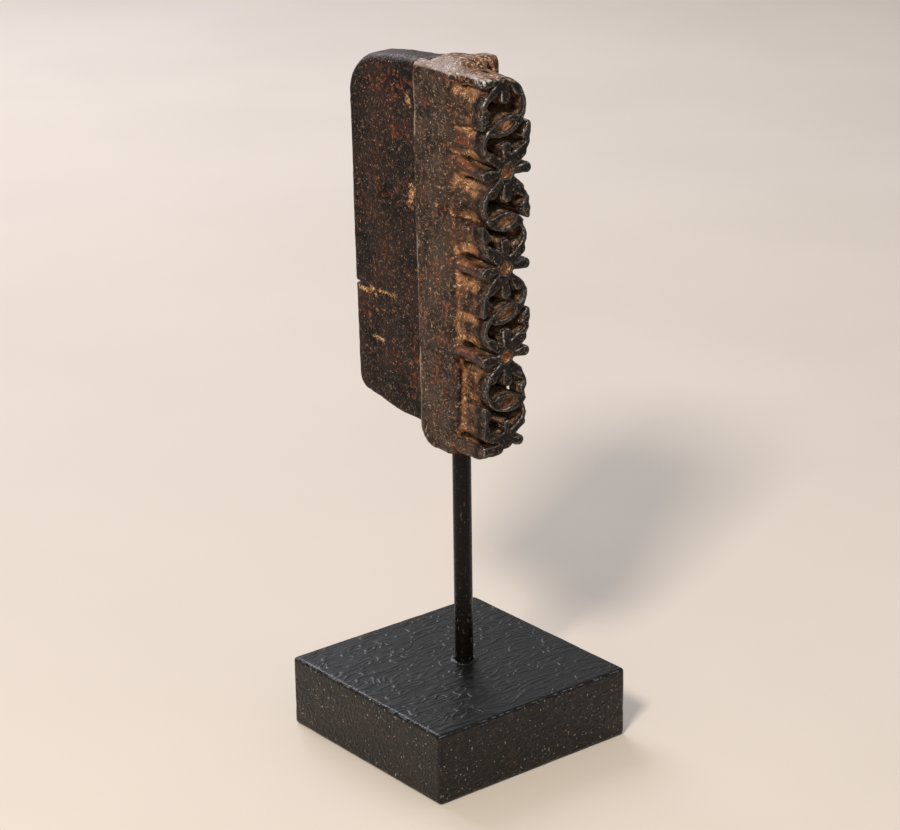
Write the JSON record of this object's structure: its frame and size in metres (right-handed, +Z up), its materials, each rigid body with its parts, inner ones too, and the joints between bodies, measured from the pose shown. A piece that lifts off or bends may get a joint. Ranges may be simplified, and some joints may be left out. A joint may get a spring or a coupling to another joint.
{
  "type": "textile printing block on a stand",
  "caption": "Carved wooden border block for printing cloth, with a slab handle, held upright on a rod in a square black base.",
  "frame": {"origin": "middle of the base's underside, on the surface that the stand rests on", "axes": "+Z up along the rod, -Y the way that the carved printing face looks, +Y the way that the handle points"},
  "size_m": [0.102, 0.1142, 0.2935],
  "materials": {
    "base_paint": "satin black paint on wood, rubbed pale along its edges",
    "rod_paint": "satin black paint on steel",
    "plain_steel": "plain zinc-coated steel",
    "block_wood": "old hardwood, dark with dye and handling, tan in the carved hollows",
    "handle_wood": "old hardwood, dark and rubbed to a dull shine",
    "dowel_wood": "bare hardwood"
  },
  "bodies": {
    "stand": {"stand_base": "base_paint"},
    "rod": {"stand_rod": "rod_paint", "rod_washer": "plain_steel", "rod_nut": "plain_steel"},
    "block": {"carved_block": "block_wood", "handle": "handle_wood", "lower_dowel": "dowel_wood", "middle_dowel": "dowel_wood", "upper_dowel": "dowel_wood"}
  },
  "joints": [
    {"name": "rod_swivel", "type": "hinge", "parent": "stand", "child": "rod", "pos_m": [0.0042, 0.0009, 0.0315], "axis": [0, 0, 1], "continuous": true},
    {"name": "block_lift", "type": "slide", "parent": "rod", "child": "block", "axis": [0, 0, 1], "range_m": [0, 0.055]}
  ]
}
